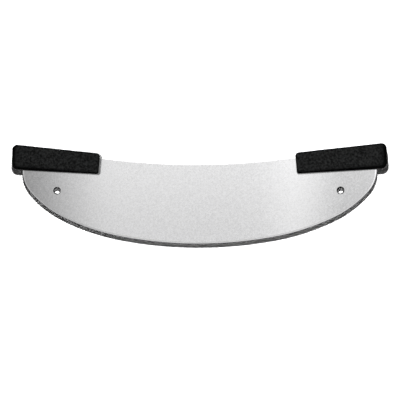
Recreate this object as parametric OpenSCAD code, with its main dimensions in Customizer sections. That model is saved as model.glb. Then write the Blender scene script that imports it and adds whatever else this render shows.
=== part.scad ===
// Pizza rocker: one long curved steel blade with a moulded plastic handle over each end of its spine.
// It lies on its side on the two handles, the blade level and the cutting edge towards -Y.
// The outline is drawn from the lowest point of the edge (x = 0, y = 0) and then centred.
// The edge is a chain of arcs that meet without a corner: belly, shoulder, heel and tip on each side.

/* [Blade] */
// Length of the blade between the two ends of its cutting edge
blade_length = 478; // [455:1:500]
// Depth of the blade at the middle, from the cutting edge to the spine
blade_depth = 106.5; // [100:0.5:115]
// Height of the ends of the cutting edge above its middle
edge_rise = 100; // [94:1:106]
// Radius of the cutting edge along the belly
belly_radius = 569; // [530:1:610]
// Half the angle that the belly takes up
belly_angle = 10.6; // [9:0.1:13]
// Radius of the cutting edge along the shoulders
shoulder_radius = 308; // [285:1:330]
// Slope of the edge where a shoulder ends and the heel starts
shoulder_angle = 26.4; // [24:0.1:29]
// Slope of the edge where the heel ends and the tip starts
heel_angle = 50; // [45:1:56]
// Radius of the hollow along the spine
spine_radius = 960; // [800:10:1400]
// Thickness of the steel
blade_thickness = 2; // [1.6:0.1:3]

/* [Ground edge] */
// Width of the bevel ground on each side of the edge
bevel_width = 2.6; // [1.5:0.1:6]
// Thickness left at the very edge
edge_land = 0.3; // [0.2:0.1:0.8]

/* [Hang holes] */
// Diameter of the two holes that the rocker hangs from
hang_hole_d = 9.5; // [7:0.5:13]
// Distance from the end of the blade in to the middle of its hole
hang_hole_inset = 47.5; // [42:0.5:64]
// Height of the holes above the middle of the edge
hang_hole_height = 72; // [66:0.5:76]

/* [Handles] */
// Length of a handle along its own centre line
handle_length = 121.5; // [105:0.5:135]
// Height of a handle at its inner end
inner_height = 28.5; // [27:0.1:34]
// Height of a handle at its outer end
outer_height = 34.6; // [31:0.1:40]
// Thickness of a handle, across the blade
handle_thickness = 22; // [17:0.5:27]
// Angle at which the centre line of a handle rises towards its outer end
handle_slope = 4.75; // [3.5:0.05:6]
// How far a handle reaches out past the end of the blade
overhang = 15; // [11:0.5:20]
// Plastic above the steel, between the tang and the top of the handle
top_cover = 6.4; // [5:0.1:8]

/* [Handle corners] */
// Corner radius at the outer end, on the spine side
outer_top_r = 7; // [5:0.5:12]
// Corner radius at the outer end, on the edge side
outer_low_r = 9.5; // [6:0.5:13]
// Corner radius at the inner end, on the spine side
inner_top_r = 5; // [3.5:0.5:8]
// Corner radius at the inner end, where the handle stands on the blade
inner_low_r = 3.2; // [3.1:0.1:6]
// Radius that softens the rims of the two broad faces
rim_radius = 2.5; // [1:0.1:2.7]
// Draft of the side walls, away from the parting plane of the mould
wall_draft = 1; // [0:0.5:2]

/* [Tang] */
// Diameter of the holes in the steel that lock the plastic in place
anchor_d = 7; // [5:0.5:9]
// Number of those holes in each handle
anchor_count = 3; // [2:1:4]
// Distance from the middle of the first and the last one to the ends of the tang
anchor_margin = 18; // [14:1:26]
// Steel clipped off the hidden outer corner of the tang
tang_clip = 6; // [2:0.5:10]

/* [Hidden] */
steel_grey = [0.80, 0.80, 0.80];
handle_black = [0.12, 0.12, 0.12];
arc_steps = 360;
hole_steps = 64;
corner_steps = 40;
rim_steps = 6;
// How far the outline under the spine is drawn past the steel and the curve that cuts it.
lap = 5;
half_length = blade_length / 2;
half_thickness = handle_thickness / 2;

// The heel and tip radii bring the chain of arcs to the ends of the edge, where it runs upright.
reach_left = half_length - belly_radius * sin(belly_angle)
    - shoulder_radius * (sin(shoulder_angle) - sin(belly_angle));
rise_left = edge_rise - belly_radius * (1 - cos(belly_angle))
    - shoulder_radius * (cos(belly_angle) - cos(shoulder_angle));
heel_reach = sin(heel_angle) - sin(shoulder_angle);
heel_rise = cos(shoulder_angle) - cos(heel_angle);
tip_reach = 1 - sin(heel_angle);
tip_rise = cos(heel_angle);
solve = heel_reach * tip_rise - tip_reach * heel_rise;
heel_radius = (reach_left * tip_rise - tip_reach * rise_left) / solve;
tip_radius = (heel_reach * rise_left - heel_rise * reach_left) / solve;

// The middle of the next arc of the chain, which follows the one before it at the given slope.
// It stands a hair proud there, so that the two arcs cross and neither leaves a step.
proud = 0.02;
function next_middle(middle, radius, next_radius, slope) =
    middle + (radius - next_radius + proud) * [sin(slope), -cos(slope)];
belly_middle = [0, belly_radius];
shoulder_middle = next_middle(belly_middle, belly_radius, shoulder_radius, belly_angle);
heel_middle = next_middle(shoulder_middle, shoulder_radius, heel_radius, shoulder_angle);
tip_middle = next_middle(heel_middle, heel_radius, tip_radius, heel_angle);
// Angle by which an arc starts before it comes to the surface.
run_in = 8;

// Height of the hollow spine above the middle of the edge.
function spine_y(x) = blade_depth + spine_radius - sqrt(pow(spine_radius, 2) - pow(x, 2));

// A handle is drawn along its centre line: u runs outwards from the inner end, v runs up across it.
flare = (outer_height - inner_height) / 2 / handle_length;
function half_height(u) = inner_height / 2 + flare * u;
function turned(u, v) =
    [u * cos(handle_slope) - v * sin(handle_slope), u * sin(handle_slope) + v * cos(handle_slope)];
// Middle of a corner of radius r that touches the end and the upper (1) or lower (-1) side.
function corner(u_end, towards, side, r) =
    let (u = u_end + towards * r)
    [u, side * (half_height(u) - r * sqrt(1 + pow(flare, 2)))];
outer_top = corner(handle_length, -1, 1, outer_top_r);
outer_low = corner(handle_length, -1, -1, outer_low_r);
inner_top = corner(0, 1, 1, inner_top_r);
inner_low = corner(0, 1, -1, inner_low_r);

// The outer low corner reaches furthest out, and the inner top corner sets the height over the spine.
start_x = half_length + overhang - outer_low_r - turned(outer_low[0], outer_low[1])[0];
top_x = start_x + turned(0, half_height(0))[0];
start_y = spine_y(top_x) + top_cover - turned(0, half_height(0))[1];
handle_start = [start_x, start_y];
top_slope = handle_slope + atan(flare);
tang_reach = (half_length - start_x) / cos(handle_slope);
anchor_step = (tang_reach - 2 * anchor_margin) / (anchor_count - 1);

// The highest point of the outer top corner closes the outline, so half of it is the centre.
overall_depth = start_y + turned(outer_top[0], outer_top[1])[1] + outer_top_r;

// The outline is drawn about the middle plane of the steel, then centred and set down on the handles.
module in_place() {
    translate([0, -overall_depth / 2, half_thickness]) children();
}

// Half of the section through the ground edge, from the middle of an arc out to the edge.
module ground_section(reach) {
    polygon([
        [0, -blade_thickness / 2],
        [reach - bevel_width, -blade_thickness / 2],
        [reach, -edge_land / 2],
        [reach, edge_land / 2],
        [reach - bevel_width, blade_thickness / 2],
        [0, blade_thickness / 2]
    ]);
}

// One arc of the ground edge, with the steel between it and the middle of its arc.
module ground_arc(middle, radius, from_slope, to_slope) {
    translate(middle)
        rotate_extrude(angle = to_slope - from_slope, start = from_slope - 90, $fn = arc_steps)
            ground_section(radius);
}

// The ends of the blade above the arcs, where the bevel runs upright into the handles.
module upright_ends() {
    translate([0, edge_rise, 0]) rotate([-90, 0, 0]) linear_extrude(blade_depth) {
        ground_section(half_length);
        mirror([1, 0]) ground_section(half_length);
    }
}

// The flat steel between the ends, which takes in the middles of the two tip arcs.
module middle_plate() {
    inset = tip_radius / 2;
    translate([0, edge_rise - inset + blade_depth / 2, 0])
        cube([2 * (half_length - inset), blade_depth, blade_thickness], center = true);
}

// The blank as it leaves the grinder, still full height above the edge.
// Each arc starts well inside the one before it.
module ground_blank() {
    ground_arc(belly_middle, belly_radius, -belly_angle, belly_angle);
    for (side = [0, 1]) mirror([side, 0, 0]) {
        ground_arc(shoulder_middle, shoulder_radius, belly_angle - run_in, shoulder_angle);
        ground_arc(heel_middle, heel_radius, shoulder_angle - run_in, heel_angle);
        ground_arc(tip_middle, tip_radius, heel_angle - run_in, 90 + run_in);
    }
    upright_ends();
    middle_plate();
}

// Everything below the spine: hollow between the handles, and straight along the tangs inside them,
// where the steel follows the top of the handle and ends in a clipped corner.
module spine_outline() {
    tang_top = spine_y(top_x) + (half_length - top_x) * tan(top_slope);
    clip_fall = 1 - tan(top_slope);
    right_side = [
        [half_length + lap, -lap],
        [half_length + lap, tang_top - tang_clip - lap * clip_fall],
        [half_length - tang_clip, tang_top - tang_clip * tan(top_slope)],
        [top_x - lap, spine_y(top_x) - lap * tan(top_slope)],
        [top_x - lap, spine_y(top_x) + lap]
    ];
    left_side = [for (i = [len(right_side) - 1 : -1 : 0]) [-right_side[i][0], right_side[i][1]]];
    difference() {
        polygon(concat(right_side, left_side));
        translate([0, blade_depth + spine_radius]) circle(spine_radius, $fn = arc_steps);
    }
}

// The holes that lock the plastic, spaced evenly along the centre line of the right handle.
module anchor_holes() {
    for (i = [0 : anchor_count - 1])
        translate(handle_start + turned(anchor_margin + i * anchor_step, 0))
            cylinder(h = 2 * blade_thickness, d = anchor_d, center = true, $fn = hole_steps);
}

module hang_hole() {
    translate([half_length - hang_hole_inset, hang_hole_height, 0])
        cylinder(h = 2 * blade_thickness, d = hang_hole_d, center = true, $fn = hole_steps);
}

module ground_blade() {
    difference() {
        intersection() {
            ground_blank();
            linear_extrude(2 * blade_thickness, center = true) spine_outline();
        }
        for (side = [0, 1]) mirror([side, 0, 0]) {
            hang_hole();
            anchor_holes();
        }
    }
}

// Upper half of a corner post's section: a drafted wall that rolls over into the broad face.
function rim_points(r) =
    let (
        rim_z = half_thickness - rim_radius,
        rim_x = r - rim_z * tan(wall_draft) - rim_radius / cos(wall_draft)
    )
    [for (i = [0 : rim_steps])
        let (a = wall_draft + (90 - wall_draft) * i / rim_steps)
        [rim_x + rim_radius * cos(a), rim_z + rim_radius * sin(a)]];

module corner_post(place, r) {
    upper = rim_points(r);
    lower = [for (i = [rim_steps : -1 : 0]) [upper[i][0], -upper[i][1]]];
    translate(place) rotate_extrude($fn = corner_steps)
        polygon(concat([[0, -half_thickness]], lower, [[r, 0]], upper, [[0, half_thickness]]));
}

// The whole moulding, before the steel takes up its room in it.
module handle_body() {
    translate(handle_start) rotate([0, 0, handle_slope]) hull() {
        corner_post(outer_top, outer_top_r);
        corner_post(outer_low, outer_low_r);
        corner_post(inner_top, inner_top_r);
        corner_post(inner_low, inner_low_r);
    }
}

// The plastic is moulded round the steel, and its plugs fill the anchor holes.
module moulded_handle() {
    difference() {
        handle_body();
        ground_blade();
    }
}

module blade() {
    color(steel_grey) in_place() ground_blade();
}

module right_handle() {
    color(handle_black) in_place() moulded_handle();
}

module left_handle() {
    color(handle_black) in_place() mirror([1, 0, 0]) moulded_handle();
}

blade();
left_handle();
right_handle();
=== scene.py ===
"""Pizza rocker: the satin steel of the blade, the grained plastic of its two handles and a white studio.

Laid out as an add-on: each operator dresses one piece, or sets the stage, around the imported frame.
"""

import math

import bmesh
import bpy
from mathutils import Matrix, Vector, noise


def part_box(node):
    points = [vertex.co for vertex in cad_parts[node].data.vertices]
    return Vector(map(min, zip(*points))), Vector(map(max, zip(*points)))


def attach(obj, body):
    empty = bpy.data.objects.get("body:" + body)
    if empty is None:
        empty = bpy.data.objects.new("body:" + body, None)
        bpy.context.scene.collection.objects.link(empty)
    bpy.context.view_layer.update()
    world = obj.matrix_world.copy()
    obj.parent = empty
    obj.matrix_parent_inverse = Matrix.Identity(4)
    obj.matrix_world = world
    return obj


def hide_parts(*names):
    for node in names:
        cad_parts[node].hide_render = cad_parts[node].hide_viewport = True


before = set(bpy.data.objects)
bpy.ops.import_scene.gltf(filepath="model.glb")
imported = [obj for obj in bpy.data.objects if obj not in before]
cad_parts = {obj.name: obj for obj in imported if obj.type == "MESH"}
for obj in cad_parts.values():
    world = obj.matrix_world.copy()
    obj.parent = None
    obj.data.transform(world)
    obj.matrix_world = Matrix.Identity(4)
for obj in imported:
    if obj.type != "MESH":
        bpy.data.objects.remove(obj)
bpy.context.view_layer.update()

bl_info = {
    "name": "Pizza Rocker",
    "version": (1, 0, 0),
    "blender": (4, 5, 0),
    "location": "3D View > Sidebar > Pizza Rocker",
    "description": "Dresses a pizza rocker's blade and handles and lights them on a white table",
    "category": "Object",
}

MM = 0.001
BODY = "root"
BLADE_LOW, BLADE_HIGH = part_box("blade")
BLADE_PLANE = (BLADE_LOW.z + BLADE_HIGH.z) / 2
HALF_LENGTH = (BLADE_HIGH.x - BLADE_LOW.x) / 2
HALF_STEEL = (BLADE_HIGH.z - BLADE_LOW.z) / 2
HANDLE_LOW, HANDLE_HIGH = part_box("right_handle")
HALF_HANDLE = (HANDLE_HIGH.z - HANDLE_LOW.z) / 2

# Faces whose normal rises less than this are side walls of a handle, or cut faces of the blade.
WALL_SLOPE = 0.2
CUT_SLOPE = 0.6
# How far beyond its radius a point still belongs to a hang hole.
HOLE_MARGIN = 1.1
# Steps round a corner of a handle's outline, and levels from its wall to its broad face.
CORNER_STEPS = 14
RIM_LEVELS = 10
# Part of a grain cell over which its edge falls to the valley, and the slopes over which the grain fades in.
VALLEY = 0.45
GRAIN_SLOPES = (0.5, 0.9)
# Lines to the metre that drawing from the mould leaves on the walls: across, across and up.
DRAWN_LINES = (1800, 1800, 120)
TABLE_REACH = 6.0

# Brightness of the light panel overhead, which the steel mirrors, as (metres from its middle, brightness):
# from left to right, from front to back, and from left to right in its front part, which the bevel mirrors.
# The front part takes over between the two places of PANEL_CHANGE.
PANEL_ACROSS = [(-1.6, 0.8), (-0.9, 0.65), (-0.5, 0.34), (-0.38, 0.36), (-0.25, 0.94), (0.05, 0.94),
                (0.12, 1.2), (0.2, 0.7), (0.5, 1.1), (0.8, 1.5), (1.6, 1.3)]
PANEL_ALONG = [(-1.6, 0.9), (-0.6, 1.05), (-0.2, 0.85), (0.0, 0.93), (0.1, 1.09), (1.6, 1.0)]
PANEL_FRONT = [(-1.6, 0.7), (-0.6, 0.6), (-0.2, 0.85), (0.6, 0.87), (0.9, 1.0), (1.6, 1.0)]
PANEL_CHANGE = (-0.22, -0.34)
PANEL_REACH = PANEL_ACROSS[-1][0]

# Brightness of the room's walls in the steel, as (height of the line of sight, brightness).
ROOM_HEIGHT = [(-1.0, 0.5), (0.0, 0.5), (0.3, 0.6), (0.6, 0.9), (1.0, 1.0)]
# Tones of the steel, as (part of its half thickness, tone), both painted shade: a dark line along the very
# edge, standing in for the shadow and dark reflection there, and a thin darker line on the bevel just below
# the flat face.
EDGE_SHADE = [(0.0, 0.1), (0.34, 0.1), (0.42, 1.0), (0.78, 1.0)]
BEVEL_SHADE = [(0.0, 1.0), (0.78, 1.0), (0.82, 0.75), (0.965, 0.75), (0.985, 1.0), (1.0, 1.0)]


class RockerBladeSettings(bpy.types.PropertyGroup):
    """The satin steel of the blade."""

    steel: bpy.props.FloatVectorProperty(
        name="Steel", description="Colour that the steel reflects",
        subtype="COLOR", size=3, min=0, max=1, default=(0.85, 0.85, 0.855))
    roughness: bpy.props.FloatProperty(
        name="Roughness", description="Roughness of the satin finish",
        subtype="FACTOR", min=0, max=1, default=0.15)
    # Painted shade: the bores of the hang holes and the land of the edge are near black, standing in for the
    # shade in the holes and under the edge.
    bore_shade_colour: bpy.props.FloatVectorProperty(
        name="Bore shade steel", description="Colour that the bores of the holes and the land of the edge reflect",
        subtype="COLOR", size=3, min=0, max=1, default=(0.03, 0.03, 0.03))
    spine_colour: bpy.props.FloatVectorProperty(
        name="Spine steel", description="Colour that the spine reflects",
        subtype="COLOR", size=3, min=0, max=1, default=(0.45, 0.45, 0.45))
    cut_roughness: bpy.props.FloatProperty(
        name="Cut roughness", description="Roughness of the bores, the land and the spine",
        subtype="FACTOR", min=0, max=1, default=0.45)
    shear_depth: bpy.props.FloatProperty(
        name="Shear depth", description="How deep the shear marks of those faces look",
        unit="LENGTH", subtype="DISTANCE", min=0, default=0.006 * MM)
    streak_width: bpy.props.FloatProperty(
        name="Streak width", description="Width of one grinding line",
        unit="LENGTH", subtype="DISTANCE", min=0.00005, default=0.5 * MM)
    streak_length: bpy.props.FloatProperty(
        name="Streak length", description="Length of one grinding line",
        unit="LENGTH", subtype="DISTANCE", min=0.001, default=14 * MM)
    streak_depth: bpy.props.FloatProperty(
        name="Streak depth", description="How deep the grinding lines look",
        unit="LENGTH", subtype="DISTANCE", min=0, default=0.001 * MM)
    speckle: bpy.props.FloatProperty(
        name="Speckle", description="Size of the satin finish's speckle",
        unit="LENGTH", subtype="DISTANCE", min=0.0001, default=2.2 * MM)
    # Painted shade: how much wider the painted dark line along the edge is at the tips.
    edge_shade_spread: bpy.props.FloatProperty(
        name="Edge shade spread", description="How much wider the dark line of the edge is at the tips",
        min=0, default=0.05)
    tip_reach: bpy.props.FloatProperty(
        name="Tip reach", description="How far the tips are drawn out beyond the blank",
        unit="LENGTH", subtype="DISTANCE", min=0, default=0.9 * MM)
    tip_start: bpy.props.FloatProperty(
        name="Tip start", description="Distance from the middle at which the tips start",
        unit="LENGTH", subtype="DISTANCE", default=200 * MM)
    hole_place: bpy.props.FloatVectorProperty(
        name="Hole place", description="Middle of a hang hole, in from the tip and up from the lowest point",
        unit="LENGTH", subtype="XYZ_LENGTH", size=2, default=(47.5 * MM, 72 * MM))
    hole_radius: bpy.props.FloatProperty(
        name="Hole radius", description="Radius of a hang hole as it is drilled",
        unit="LENGTH", subtype="DISTANCE", min=0, default=4.75 * MM)
    hole_flare: bpy.props.FloatProperty(
        name="Hole flare", description="How much larger that radius is in the upper face",
        unit="LENGTH", subtype="DISTANCE", min=0, default=0.4 * MM)
    hole_taper: bpy.props.FloatProperty(
        name="Hole taper", description="How much smaller that radius is in the lower face",
        unit="LENGTH", subtype="DISTANCE", min=0, default=0.9 * MM)


class RockerHandleSettings(bpy.types.PropertyGroup):
    """Form and finish of a moulded handle."""

    plastic: bpy.props.FloatVectorProperty(
        name="Plastic", description="Colour of the plastic",
        subtype="COLOR", size=3, min=0, max=1, default=(0.0155, 0.0160, 0.0160))
    roughness: bpy.props.FloatProperty(
        name="Roughness", description="Roughness of the grained faces",
        subtype="FACTOR", min=0, max=1, default=0.58)
    face_gloss: bpy.props.FloatProperty(
        name="Face gloss", description="Specular level of the grained faces",
        subtype="FACTOR", min=0, max=1, default=0.07)
    # Painted shade: the rims get almost no gloss, so that they look black like rims in shade.
    shaded_rim_gloss: bpy.props.FloatProperty(
        name="Rim gloss", description="Specular level of the rims",
        subtype="FACTOR", min=0, max=1, default=0.01)
    wall_roughness: bpy.props.FloatProperty(
        name="Wall roughness", description="Roughness of the drawn side walls",
        subtype="FACTOR", min=0, max=1, default=0.32)
    length: bpy.props.FloatProperty(
        name="Length", description="Length along the centre line of the handle",
        unit="LENGTH", subtype="DISTANCE", default=121.5 * MM)
    inner_height: bpy.props.FloatProperty(
        name="Inner height", description="Height at the end that stands on the blade",
        unit="LENGTH", subtype="DISTANCE", default=28.5 * MM)
    outer_height: bpy.props.FloatProperty(
        name="Outer height", description="Height at the free end",
        unit="LENGTH", subtype="DISTANCE", default=34.6 * MM)
    slope: bpy.props.FloatProperty(
        name="Slope", description="Rise of the centre line towards the free end",
        unit="ROTATION", subtype="ANGLE", default=math.radians(4.75))
    corner_radii: bpy.props.FloatVectorProperty(
        name="Corner radii", description="Outer top, inner top, inner low and outer low corner",
        unit="LENGTH", subtype="XYZ_LENGTH", size=4, default=(7 * MM, 5 * MM, 3.2 * MM, 9.5 * MM))
    rims: bpy.props.FloatVectorProperty(
        name="Rim radii", description="Radii that soften the rims of the broad faces, at the same corners",
        unit="LENGTH", subtype="XYZ_LENGTH", size=4, default=(3 * MM, 2.2 * MM, 2.5 * MM, 7.5 * MM))
    draft: bpy.props.FloatProperty(
        name="Draft", description="Draft of the side walls",
        unit="ROTATION", subtype="ANGLE", default=math.radians(1))
    # Painted shade: how far in from the free end, top, inner end and low side the painted shade darkens the
    # faces, and the share of colour below which a face takes the glossless rim plastic.
    shade_reach: bpy.props.FloatVectorProperty(
        name="Shade reach", description="How far in from the free end, top, inner end and low side it is paler",
        unit="LENGTH", subtype="XYZ_LENGTH", size=4, default=(12 * MM, 3 * MM, 3 * MM, 10 * MM))
    least_light_share: bpy.props.FloatProperty(
        name="Least rub", description="Rub below which the plastic has no gloss left",
        subtype="FACTOR", min=0, max=1, default=0.4)
    grain_size: bpy.props.FloatProperty(
        name="Grain size", description="Width of one cell of the moulded grain",
        unit="LENGTH", subtype="DISTANCE", min=0.0002, default=1.6 * MM)
    grain_depth: bpy.props.FloatProperty(
        name="Grain depth", description="Depth of the moulded grain",
        unit="LENGTH", subtype="DISTANCE", min=0, default=0.07 * MM)
    mesh_size: bpy.props.FloatProperty(
        name="Mesh size", description="Size of the mesh faces that carry the grain",
        unit="LENGTH", subtype="DISTANCE", min=0.0003, default=0.5 * MM)


class RockerStageSettings(bpy.types.PropertyGroup):
    """The white table, its light and the camera over it."""

    camera_place: bpy.props.FloatVectorProperty(
        name="Camera place", description="Where the camera stands above the blade",
        unit="LENGTH", subtype="XYZ_LENGTH", size=3, default=(0.1739, -0.120, 1.811))
    camera_turn: bpy.props.FloatVectorProperty(
        name="Camera turn", description="How the camera is turned from looking straight down",
        unit="ROTATION", subtype="EULER", size=3, default=(0.06238, 0.09112, 0.00498))
    camera_lens: bpy.props.FloatProperty(
        name="Camera lens", description="Focal length of the camera",
        unit="CAMERA", default=121.25)
    camera_shift: bpy.props.FloatProperty(
        name="Camera shift", description="Sideways shift of the picture, as a part of its width",
        default=-0.01)
    key_power: bpy.props.FloatProperty(
        name="Key light", description="Power of the key light", unit="POWER", min=0, default=108)
    key_place: bpy.props.FloatVectorProperty(
        name="Key place", description="Where the key light hangs above the table",
        unit="LENGTH", subtype="XYZ_LENGTH", size=3, default=(0.080, 0.540, 1.380))
    key_size: bpy.props.FloatProperty(
        name="Key size", description="Radius of the key light",
        unit="LENGTH", subtype="DISTANCE", min=0, default=0.035)
    room_strength: bpy.props.FloatProperty(
        name="Room light", description="Strength of the even light of the room", min=0, default=0.03)
    panel_height: bpy.props.FloatProperty(
        name="Panel height", description="Height of the light panel above the blade",
        unit="LENGTH", subtype="DISTANCE", default=0.7)
    table: bpy.props.FloatProperty(
        name="Table", description="Grey of the table top for the light that it throws back",
        subtype="FACTOR", min=0, max=1, default=0.8)
    white: bpy.props.FloatProperty(
        name="White", description="White of the table top in the picture, right below the key light",
        min=0, default=1.03)


class NodeTree:
    """A node tree, built by short calls."""

    def __init__(self, tree, output):
        self.tree = tree
        self.tree.nodes.clear()
        self.output = self.tree.nodes.new(output)

    def add(self, kind, links=None, values=None, **settings):
        node = self.tree.nodes.new("ShaderNode" + kind)
        for key, value in settings.items():
            setattr(node, key, value)
        for socket, value in (values or {}).items():
            node.inputs[socket].default_value = value
        for socket, source in (links or {}).items():
            self.tree.links.new(source, node.inputs[socket])
        return node

    def math(self, operation, first, second=0):
        """Sum, product and so on of two sockets, or of a socket and a number."""
        node = self.add("Math", {0: first}, operation=operation)
        if isinstance(second, (int, float)):
            node.inputs[1].default_value = second
        else:
            self.tree.links.new(second, node.inputs[1])
        return node.outputs[0]

    def scaled(self, source, low, high, to_low=0.0, to_high=1.0):
        """The source, stretched from one range to another and kept inside it."""
        return self.add("MapRange", {"Value": source}, {
            "From Min": low, "From Max": high, "To Min": to_low, "To Max": to_high}).outputs[0]

    def ramp(self, source, stops):
        """Greys along the source, from stops of place and grey."""
        node = self.add("ValToRGB", {"Fac": source})
        elements = node.color_ramp.elements
        for element, (place, grey) in zip(elements, (stops[0], stops[-1])):
            element.position = place
            element.color = (grey, grey, grey, 1)
        for place, grey in stops[1:-1]:
            elements.new(place).color = (grey, grey, grey, 1)
        return node.outputs["Color"]

    def curve(self, source, stops):
        """Brightness along the source, from stops of place and brightness."""
        (start, _), (end, _) = stops[0], stops[-1]
        top = max(value for place, value in stops)
        ramp = self.ramp(self.scaled(source, start, end),
                         [((place - start) / (end - start), value / top) for place, value in stops])
        return self.math("MULTIPLY", ramp, top)

    def blended(self, amount, first, second):
        """From the first to the second as the amount goes from 0 to 1."""
        return self.add("Mix", {0: amount, 2: first, 3: second}, data_type="FLOAT").outputs[0]

    def tinted(self, colour, greys):
        """The colour, multiplied by the greys."""
        node = self.add("Mix", data_type="RGBA", blend_type="MULTIPLY")
        factor, first, second = (node.inputs[i] for i in (0, 6, 7))
        factor.default_value = 1.0
        self.tree.links.new(greys, first)
        second.default_value = (*colour, 1)
        return node.outputs[2]

    def finish(self, surface):
        self.tree.links.new(surface, self.output.inputs["Surface"])


class Shader(NodeTree):
    """A new material and its node tree."""

    def __init__(self, name):
        self.material = bpy.data.materials.new(name)
        self.material.use_nodes = True
        super().__init__(self.material.node_tree, "ShaderNodeOutputMaterial")

    def finish(self, surface):
        super().finish(surface)
        return self.material


def satin_steel(look):
    """Satin steel, ground across the blade in fine lines, with painted shade along the edge and on the bevel.
    """
    steel = Shader("satin_steel")
    place = steel.add("TexCoord").outputs["Object"]
    lines = steel.add("Mapping", {"Vector": place}, {
        "Scale": (1 / look.streak_width, 1 / look.streak_length, 1 / look.streak_width)})
    streaks = steel.add("TexNoise", {"Vector": lines.outputs[0]}, {
        "Scale": 1.0, "Detail": 3.0, "Roughness": 0.6}).outputs["Fac"]
    speckle = steel.add("TexNoise", {"Vector": place}, {
        "Scale": 1 / look.speckle, "Detail": 2.0, "Roughness": 0.7}).outputs["Fac"]
    grain = steel.math("ADD", steel.math("MULTIPLY", streaks, 0.5), speckle)
    part = steel.add("SeparateXYZ", {0: place}).outputs
    height = steel.math("ABSOLUTE", steel.math("SUBTRACT", part["Z"], BLADE_PLANE))
    height = steel.math("DIVIDE", height, HALF_STEEL)
    # Painted shade: darkens the steel along the very edge, wider towards the tips, and in a thin line on the
    # bevel below the flat face.
    tip = steel.scaled(steel.math("ABSOLUTE", part["X"]), look.tip_start, HALF_LENGTH)
    spread = steel.math("ADD", steel.math("MULTIPLY", tip, look.edge_shade_spread), 1)
    line = steel.ramp(steel.math("DIVIDE", height, spread), EDGE_SHADE)
    edge = steel.math("MULTIPLY", line, steel.ramp(height, BEVEL_SHADE))
    tone = steel.ramp(steel.scaled(grain, 0.5, 1.0), [(0, 0.8), (1, 1)])
    colour = steel.tinted(look.steel, steel.math("MULTIPLY", edge, tone))
    rough = steel.scaled(grain, 0.45, 1.05, look.roughness - 0.04, look.roughness + 0.04)
    bump = steel.add("Bump", {"Height": streaks}, {"Strength": 1.0, "Distance": look.streak_depth})
    shader = steel.add("BsdfPrincipled", {
        "Base Color": colour, "Roughness": rough, "Normal": bump.outputs[0]}, {"Metallic": 1.0})
    return steel.finish(shader.outputs[0])


def cut_steel(name, colour, look):
    """The duller steel of a face that is cut across the sheet, with fine shear marks."""
    steel = Shader(name)
    place = steel.add("TexCoord").outputs["Object"]
    marks = steel.add("Mapping", {"Vector": place}, {
        "Scale": (1 / look.streak_width, 1 / look.streak_width, 0.3 / look.streak_width)})
    shear = steel.add("TexNoise", {"Vector": marks.outputs[0]}, {
        "Scale": 1.0, "Detail": 3.0, "Roughness": 0.6}).outputs["Fac"]
    colour = steel.tinted(colour, steel.ramp(steel.scaled(shear, 0.3, 0.7), [(0, 0.6), (1, 1)]))
    rough = steel.scaled(shear, 0.3, 0.7, look.cut_roughness - 0.08, look.cut_roughness + 0.08)
    bump = steel.add("Bump", {"Height": shear}, {"Strength": 1.0, "Distance": look.shear_depth})
    shader = steel.add("BsdfPrincipled", {
        "Base Color": colour, "Roughness": rough, "Normal": bump.outputs[0]}, {"Metallic": 1.0})
    return steel.finish(shader.outputs[0])


def grained_plastic(name, look, gloss):
    """Black plastic with a moulded leather grain: mottled at random, and darkened by painted shade towards
    the rims, the low side and the free end.
    """
    plastic = Shader(name)
    place = plastic.add("TexCoord").outputs["Object"]
    fine = plastic.add("TexNoise", {"Vector": place}, {
        "Scale": 3 / look.grain_size, "Detail": 3.0, "Roughness": 0.6}).outputs["Fac"]
    mottle = plastic.add("TexNoise", {"Vector": place}, {
        "Scale": 0.7 / look.grain_size, "Detail": 2.0, "Roughness": 0.6}).outputs["Fac"]
    # The mark read here is painted shade: it darkens the colour from the middle of the faces towards the
    # rims.
    light_share = plastic.add("Attribute", attribute_name="light_share").outputs["Fac"]
    mottle_and_shade = plastic.math("MULTIPLY", plastic.scaled(mottle, 0.36, 0.64, 0.05, 1.0), light_share)
    colour = plastic.tinted(look.plastic, mottle_and_shade)
    rough = plastic.scaled(mottle, 0.3, 0.7, look.roughness + 0.1, look.roughness - 0.05)
    bump = plastic.add("Bump", {"Height": fine}, {"Strength": 1.0, "Distance": look.grain_depth / 4})
    shader = plastic.add("BsdfPrincipled", {
        "Base Color": colour, "Roughness": rough, "Normal": bump.outputs[0]}, {
        "Specular IOR Level": gloss})
    return plastic.finish(shader.outputs[0])


def drawn_plastic(look):
    """The smoother plastic of the side walls, with the fine lines left by drawing it from the mould."""
    plastic = Shader("drawn_plastic")
    place = plastic.add("TexCoord").outputs["Object"]
    lines = plastic.add("Mapping", {"Vector": place}, {"Scale": DRAWN_LINES})
    drag = plastic.add("TexNoise", {"Vector": lines.outputs[0]}, {
        "Scale": 1.0, "Detail": 3.0, "Roughness": 0.55}).outputs["Fac"]
    colour = plastic.tinted(look.plastic, plastic.scaled(drag, 0.3, 0.7, 0.15, 0.3))
    rough = plastic.scaled(drag, 0.3, 0.7, look.wall_roughness - 0.06, look.wall_roughness + 0.06)
    bump = plastic.add("Bump", {"Height": drag}, {"Strength": 1.0, "Distance": 0.01 * MM})
    shader = plastic.add("BsdfPrincipled", {
        "Base Color": colour, "Roughness": rough, "Normal": bump.outputs[0]}, {
        "Specular IOR Level": 0.5})
    return plastic.finish(shader.outputs[0])


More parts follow.
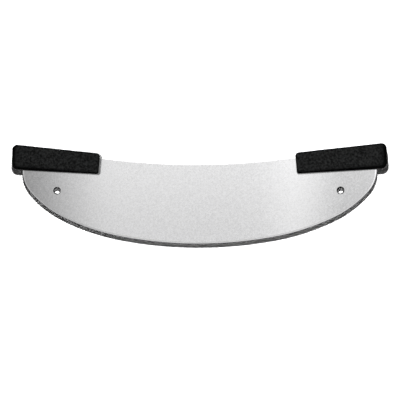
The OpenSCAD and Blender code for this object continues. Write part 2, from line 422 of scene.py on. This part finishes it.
def table_white(look):
    """A table top that keeps the shadow. To the camera and in the steel it is plain white: there its white
    rises away from the key light as much as that light falls, with the cube of the distance from the lamp."""
    table = Shader("table_white")
    path = table.add("LightPath").outputs
    seen = table.math("MAXIMUM", path["Is Camera Ray"], path["Is Glossy Ray"])
    foot = (look.key_place[0], look.key_place[1], 0)
    away = table.add("VectorMath", {0: table.add("TexCoord").outputs["Object"]}, {1: foot},
                     operation="SUBTRACT").outputs[0]
    away = table.add("VectorMath", {0: away, 1: away}, operation="DOT_PRODUCT").outputs["Value"]
    away = table.math("ADD", table.math("DIVIDE", away, look.key_place[2] ** 2), 1)
    white = table.math("MULTIPLY", table.math("POWER", away, 1.5), look.white)
    colour = table.add("Mix", {0: seen, 3: white}, {2: look.table}, data_type="FLOAT").outputs[0]
    return table.finish(table.add("BsdfDiffuse", {"Color": colour}).outputs[0])


def handle_corners(look):
    """Middles and radii of the four corners in the handle's own plane, counter-clockwise from the
    outer top. The handle runs along x from its inner end, and y is up across it."""
    flare = (look.outer_height - look.inner_height) / 2 / look.length
    tangent = math.hypot(1, flare)
    corners = []
    for (end, towards, side), radius in zip(
            ((look.length, -1, 1), (0, 1, 1), (0, 1, -1), (look.length, -1, -1)), look.corner_radii):
        x = end + towards * radius
        half = look.inner_height / 2 + flare * x
        corners.append((Vector((x, side * (half - radius * tangent))), radius))
    return corners, math.atan(flare)


def handle_ring(look, level):
    """The handle's outline at a level, from 0 where the wall meets the rim to 1 at the broad face,
    or at the parting plane where the level is None."""
    corners, flare = handle_corners(look)
    quarter = math.pi / 2
    starts = (0, quarter + flare, 2 * quarter, 3 * quarter - flare)
    ends = (quarter + flare, 2 * quarter, 3 * quarter - flare, 4 * quarter)
    ring = []
    for (middle, radius), rim, start, end in zip(corners, look.rims, starts, ends):
        inset = height = 0.0
        if level is not None:
            wall_top = HALF_HANDLE - rim
            turn = look.draft + (quarter - look.draft) * level
            inset = wall_top * math.tan(look.draft) + rim / math.cos(look.draft) - rim * math.cos(turn)
            height = wall_top + rim * math.sin(turn)
        for i in range(CORNER_STEPS + 1):
            angle = start + (end - start) * i / CORNER_STEPS
            point = middle + (radius - inset) * Vector((math.cos(angle), math.sin(angle)))
            ring.append(Vector((point.x, point.y, height)))
    return ring


def handle_mesh(name, look):
    """The right handle as one closed moulding."""
    upper = [handle_ring(look, i / RIM_LEVELS) for i in range(RIM_LEVELS + 1)]
    lower = [[Vector((p.x, p.y, -p.z)) for p in ring] for ring in reversed(upper)]
    bm = bmesh.new()
    loops = []
    for ring in lower + [handle_ring(look, None)] + upper:
        loops.append([bm.verts.new(p) for p in ring])
    for below, above in zip(loops, loops[1:]):
        for i in range(len(below)):
            j = (i + 1) % len(below)
            bm.faces.new((below[i], below[j], above[j], above[i]))
    bm.faces.new(list(reversed(loops[0])))
    bm.faces.new(loops[-1])
    mesh = bpy.data.meshes.new(name)
    bm.to_mesh(mesh)
    bm.free()
    return mesh


def remeshed(obj, size):
    """The object's mesh as an even net of small faces."""
    net = obj.modifiers.new("net", "REMESH")
    net.mode = "VOXEL"
    net.voxel_size = size
    graph = bpy.context.evaluated_depsgraph_get()
    mesh = bpy.data.meshes.new_from_object(obj.evaluated_get(graph))
    obj.modifiers.clear()
    obj.data = mesh


def smooth_step(value, low, high):
    """From 0 to 1 between low and high, easing in and out."""
    part = min(1.0, max(0.0, (value - low) / (high - low)))
    return part * part * (3 - 2 * part)


def paint_rim_shade(mesh, look):
    """Marks how much of the plastic's colour each point keeps under painted shade: all of it in the middle of
    the faces, and less towards the low side and the free end. The rims and what lies by them are painted
    black as shade."""
    flare = (look.outer_height - look.inner_height) / 2 / look.length
    reach = look.shade_reach
    marks = mesh.attributes.new("light_share", "FLOAT", "POINT")
    for vertex, mark in zip(mesh.vertices, marks.data):
        x, y, _ = vertex.co
        half = look.inner_height / 2 + flare * x
        low_reach = reach[3] * (0.5 + 0.5 * x / look.length)
        mark.value = (smooth_step(look.length - x, 0, reach[0]) * smooth_step(half - y, 0, reach[1])
                      * smooth_step(x, 0, reach[2]) * smooth_step(half + y, 0, low_reach))


def press_grain(mesh, look):
    """Presses the valleys between the cells of the leather grain into the mesh's broad faces."""
    flat, level = GRAIN_SLOPES
    normals = [v.normal.copy() for v in mesh.vertices]
    for vertex, normal in zip(mesh.vertices, normals):
        near = noise.voronoi(vertex.co / look.grain_size)[0]
        valley = 1 - smooth_step(near[1] - near[0], 0, VALLEY)
        broad = min(1.0, max(0.0, (abs(normal.z) - flat) / (level - flat)))
        vertex.co -= normal * look.grain_depth * broad * valley


def fit_to_node(mesh, node):
    """Moves the mesh to the middle of the node's box and keeps it inside that box."""
    low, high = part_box(node)
    own_low = Vector([min(v.co[i] for v in mesh.vertices) for i in range(3)])
    own_high = Vector([max(v.co[i] for v in mesh.vertices) for i in range(3)])
    scale = Matrix.Diagonal([min(1.0, (high[i] - low[i]) / (own_high[i] - own_low[i]))
                             for i in range(3)]).to_4x4()
    mesh.transform(Matrix.Translation((low + high) / 2) @ scale
                   @ Matrix.Translation(-(own_low + own_high) / 2))


def from_hole(point, look):
    """Where a point lies from the middle of the nearest hang hole, and whether that is in the hole."""
    inset, height = look.hole_place
    out = point.xy - Vector((math.copysign(HALF_LENGTH - inset, point.x), BLADE_LOW.y + height))
    return out, out.length < look.hole_radius * HOLE_MARGIN


def taper_holes(mesh, look):
    """Narrows the hang holes from the upper face to the lower one, as a countersink does."""
    for vertex in mesh.vertices:
        out, inside = from_hole(vertex.co, look)
        if inside:
            growth = look.hole_flare if vertex.co.z > BLADE_PLANE else -look.hole_taper
            vertex.co.xy += out * (growth / look.hole_radius)


def steel_of(face, look):
    """Place in the blade's materials: 0 for a ground face, 1 for a bore or the land, which are near black as
    painted shade, 2 for the spine.
    """
    if abs(face.normal.z) > CUT_SLOPE:
        return 0
    return 1 if face.normal.y < 0 or from_hole(face.center, look)[1] else 2


def draw_out_tips(mesh, look):
    """Draws the tips of the blade out beyond the blank."""
    for vertex in mesh.vertices:
        out = smooth_step(abs(vertex.co.x), look.tip_start, HALF_LENGTH)
        vertex.co.x += math.copysign(look.tip_reach * out, vertex.co.x)


def flat_square(name, reach, material):
    """A level square round the origin."""
    mesh = bpy.data.meshes.new(name)
    corners = [(-reach, -reach, 0), (reach, -reach, 0), (reach, reach, 0), (-reach, reach, 0)]
    mesh.from_pydata(corners, [], [(0, 1, 2, 3)])
    mesh.materials.append(material)
    return mesh


def linked(name, data):
    """A new object in the scene that shows the mesh, lamp or camera."""
    obj = bpy.data.objects.new(name, data)
    bpy.context.scene.collection.objects.link(obj)
    return obj


class ROCKER_OT_blade(bpy.types.Operator):
    """Give the blade its satin steel"""

    bl_idname = "rocker.blade"
    bl_label = "Finish the Blade"

    def execute(self, context):
        look = context.scene.rocker_blade
        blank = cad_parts["blade"]
        mesh = blank.data.copy()
        mesh.transform(blank.matrix_world)
        draw_out_tips(mesh, look)
        taper_holes(mesh, look)
        mesh.materials.clear()
        # The bores and the land take a near black steel as painted shade; the spine takes plain duller cut
        # steel.
        for material in (satin_steel(look), cut_steel("bore_shade_steel", look.bore_shade_colour, look),
                         cut_steel("spine_steel", look.spine_colour, look)):
            mesh.materials.append(material)
        for face in mesh.polygons:
            face.material_index = steel_of(face, look)
        blade = linked("ground_blade", mesh)
        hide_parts("blade")
        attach(blade, BODY)
        return {"FINISHED"}


class ROCKER_OT_handles(bpy.types.Operator):
    """Mould the two grained handles over the ends of the blade"""

    bl_idname = "rocker.handles"
    bl_label = "Mould the Handles"

    def execute(self, context):
        look = context.scene.rocker_handle
        materials = (grained_plastic("lit_face", look, look.face_gloss),
                     grained_plastic("shaded_rim", look, look.shaded_rim_gloss), drawn_plastic(look))
        for side, node in ((1, "right_handle"), (-1, "left_handle")):
            handle = linked(node + "_moulding", handle_mesh(node + "_moulding", look))
            remeshed(handle, look.mesh_size)
            mesh = handle.data
            for material in materials:
                mesh.materials.append(material)
            # Paints the shade mark; where it is darkest, the faces take the glossless shaded rim plastic.
            paint_rim_shade(mesh, look)
            marks = mesh.attributes["light_share"].data
            for face in mesh.polygons:
                in_light = marks[face.vertices[0]].value > look.least_light_share
                face.material_index = 2 if abs(face.normal.z) < WALL_SLOPE else 0 if in_light else 1
            press_grain(mesh, look)
            mesh.transform(Matrix.Rotation(look.slope, 4, "Z"))
            if side < 0:
                mesh.transform(Matrix.Scale(-1, 4, (1, 0, 0)))
                mesh.flip_normals()
            fit_to_node(mesh, node)
            mesh.shade_smooth()
            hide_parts(node)
            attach(handle, BODY)
        return {"FINISHED"}


class ROCKER_OT_stage(bpy.types.Operator):
    """Set the white table, the room, the light and the camera"""

    bl_idname = "rocker.stage"
    bl_label = "Set the Stage"

    def execute(self, context):
        look = context.scene.rocker_stage
        self.table(look)
        self.room(context.scene, look)
        self.panel(look)
        self.key_lamp(look)
        context.scene.camera = self.camera(look)
        context.scene.view_settings.view_transform = "Standard"
        return {"FINISHED"}

    def table(self, look):
        linked("table_top", flat_square("table_top", TABLE_REACH, table_white(look)))

    def room(self, scene, look):
        scene.world = bpy.data.worlds.new("white_room")
        scene.world.use_nodes = True
        room = NodeTree(scene.world.node_tree, "ShaderNodeOutputWorld")
        path = room.add("LightPath").outputs
        sight = room.add("SeparateXYZ", {0: room.add("TexCoord").outputs["Generated"]}).outputs["Z"]
        mirrored = room.curve(sight, ROOM_HEIGHT)
        mirrored = room.math("MULTIPLY", path["Is Glossy Ray"], mirrored)
        seen = room.math("MAXIMUM", path["Is Camera Ray"], path["Is Transmission Ray"])
        strength = room.math("MAXIMUM", room.math("MAXIMUM", seen, mirrored), look.room_strength)
        background = room.add("Background", {"Strength": strength}, {"Color": (1, 1, 1, 1)})
        room.finish(background.outputs[0])

    def panel(self, look):
        """The light panel overhead, which only mirroring things show."""
        glow = Shader("panel_glow")
        place = glow.add("SeparateXYZ", {0: glow.add("TexCoord").outputs["Object"]}).outputs
        middle = glow.math("MULTIPLY", glow.curve(place["X"], PANEL_ACROSS),
                           glow.curve(place["Y"], PANEL_ALONG))
        brightness = glow.blended(glow.scaled(place["Y"], *PANEL_CHANGE), middle,
                                  glow.curve(place["X"], PANEL_FRONT))
        material = glow.finish(glow.add("Emission", {"Strength": brightness}).outputs[0])
        panel = linked("light_panel", flat_square("light_panel", PANEL_REACH, material))
        panel.location.z = BLADE_PLANE + look.panel_height
        for kind in ("camera", "diffuse", "transmission", "volume_scatter", "shadow"):
            setattr(panel, "visible_" + kind, False)

    def key_lamp(self, look):
        lamp = bpy.data.lights.new("key_light", "POINT")
        lamp.energy = look.key_power
        lamp.shadow_soft_size = look.key_size
        key = linked("key_light", lamp)
        key.location = look.key_place
        key.visible_glossy = False

    def camera(self, look):
        data = bpy.data.cameras.new("overhead_camera")
        data.lens = look.camera_lens
        data.shift_x = look.camera_shift
        camera = linked("overhead_camera", data)
        camera.location = look.camera_place
        camera.rotation_euler = look.camera_turn
        return camera


class ROCKER_PT_panel(bpy.types.Panel):
    """Sizes, colours and steps of the pizza rocker"""

    bl_label = "Pizza Rocker"
    bl_idname = "ROCKER_PT_panel"
    bl_space_type = "VIEW_3D"
    bl_region_type = "UI"
    bl_category = "Pizza Rocker"

    def draw(self, context):
        layout = self.layout
        for settings, operator in STEPS:
            box = layout.box()
            group = getattr(context.scene, settings)
            for name in group.__annotations__:
                box.prop(group, name)
            box.operator(operator)


STEPS = (("rocker_blade", "rocker.blade"), ("rocker_handle", "rocker.handles"),
         ("rocker_stage", "rocker.stage"))
GROUPS = {"rocker_blade": RockerBladeSettings, "rocker_handle": RockerHandleSettings,
          "rocker_stage": RockerStageSettings}
CLASSES = (ROCKER_OT_blade, ROCKER_OT_handles, ROCKER_OT_stage, ROCKER_PT_panel)


def register():
    for name, group in GROUPS.items():
        bpy.utils.register_class(group)
        setattr(bpy.types.Scene, name, bpy.props.PointerProperty(type=group))
    for cls in CLASSES:
        bpy.utils.register_class(cls)


def unregister():
    for cls in reversed(CLASSES):
        bpy.utils.unregister_class(cls)
    for name, group in GROUPS.items():
        delattr(bpy.types.Scene, name)
        bpy.utils.unregister_class(group)


def main():
    register()
    bpy.ops.rocker.stage()
    bpy.ops.rocker.blade()
    bpy.ops.rocker.handles()


if __name__ == "__main__":
    main()
